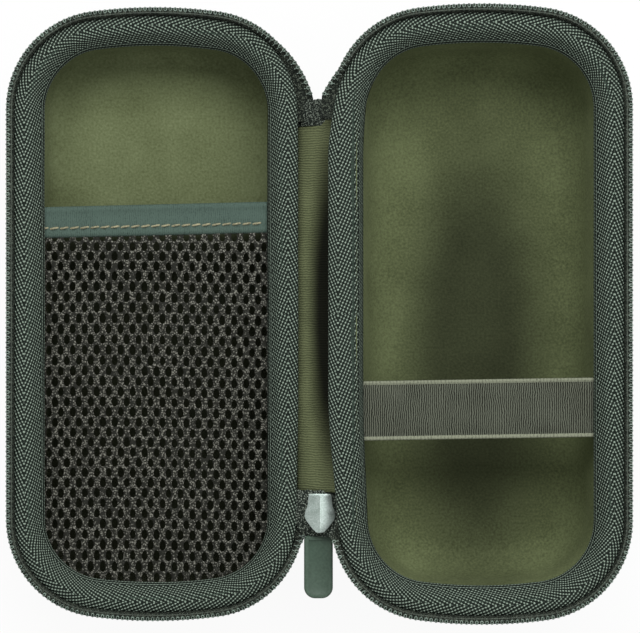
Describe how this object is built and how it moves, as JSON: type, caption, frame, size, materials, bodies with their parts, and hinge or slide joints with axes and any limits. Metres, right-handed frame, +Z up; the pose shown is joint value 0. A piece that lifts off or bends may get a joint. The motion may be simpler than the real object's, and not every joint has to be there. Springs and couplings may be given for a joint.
{
  "type": "speaker hard case",
  "caption": "Zip-up moulded hard case for a small speaker, lying open flat, with a mesh pocket in the lid and an elastic strap in the base.",
  "frame": {"origin": "centre of the bounding box of the open case, at the level that both halves stand on", "axes": "+Z up, +Y along the spine towards the zip's upper end, +X from the lid to the base"},
  "size_m": [0.202, 0.199, 0.0495],
  "materials": {
    "woven_cover": "matte",
    "velvet_lining": "matte",
    "herringbone_tape": "matte",
    "coil_nylon": "satin",
    "ribbed_elastic": "matte",
    "knitted_net": "matte",
    "pocket_elastic": "matte",
    "ribbed_lining": "matte",
    "cast_zinc": "satin",
    "moulded_grip": "matte"
  },
  "bodies": {
    "base": {"base_shell": "woven_cover", "base_lining": "velvet_lining", "base_zip_tape": "herringbone_tape", "base_zip_teeth": "coil_nylon", "elastic_strap": "ribbed_elastic"},
    "spine": {"spine_cover": "woven_cover", "spine_lining": "ribbed_lining", "zip_end_tab_top": "herringbone_tape"},
    "lid": {"lid_shell": "woven_cover", "lid_lining": "velvet_lining", "lid_zip_tape": "herringbone_tape", "lid_zip_teeth": "coil_nylon", "pocket_mesh": "knitted_net", "pocket_band": "pocket_elastic"},
    "zip_tail": {"zip_end_tab_bottom": "herringbone_tape"},
    "slider": {"slider_body": "cast_zinc"},
    "puller": {"puller_link": "cast_zinc", "puller_grip": "moulded_grip"}
  },
  "joints": [
    {"name": "spine_fold", "type": "hinge", "parent": "base", "child": "spine", "pos_m": [0.00623, 0, 0.04058], "axis": [0, 1, 0], "range_deg": [0, 133.92]},
    {"name": "lid_fold", "type": "hinge", "parent": "spine", "child": "lid", "pos_m": [-0.00623, 0, 0.02858], "axis": [0, 1, 0], "range_deg": [0, 46.08]},
    {"name": "slider_lean", "type": "hinge", "parent": "lid", "child": "zip_tail", "pos_m": [-0.00144, -0.0642, 0.03599], "axis": [0, -1, 0], "range_deg": [0, 90]},
    {"name": "slider_run", "type": "slide", "parent": "zip_tail", "child": "slider", "axis": [0, -1, 0], "range_m": [0, 0.0025]},
    {"name": "puller_swing", "type": "hinge", "parent": "slider", "child": "puller", "pos_m": [0.0003, -0.0661, 0.03518], "axis": [1, 0, 0], "range_deg": [0, 130]}
  ],
  "couplings": [
    {"joint": "lid_fold", "follows": "spine_fold", "ratio": 0.34406},
    {"joint": "slider_lean", "follows": "spine_fold", "ratio": 0.67203}
  ]
}
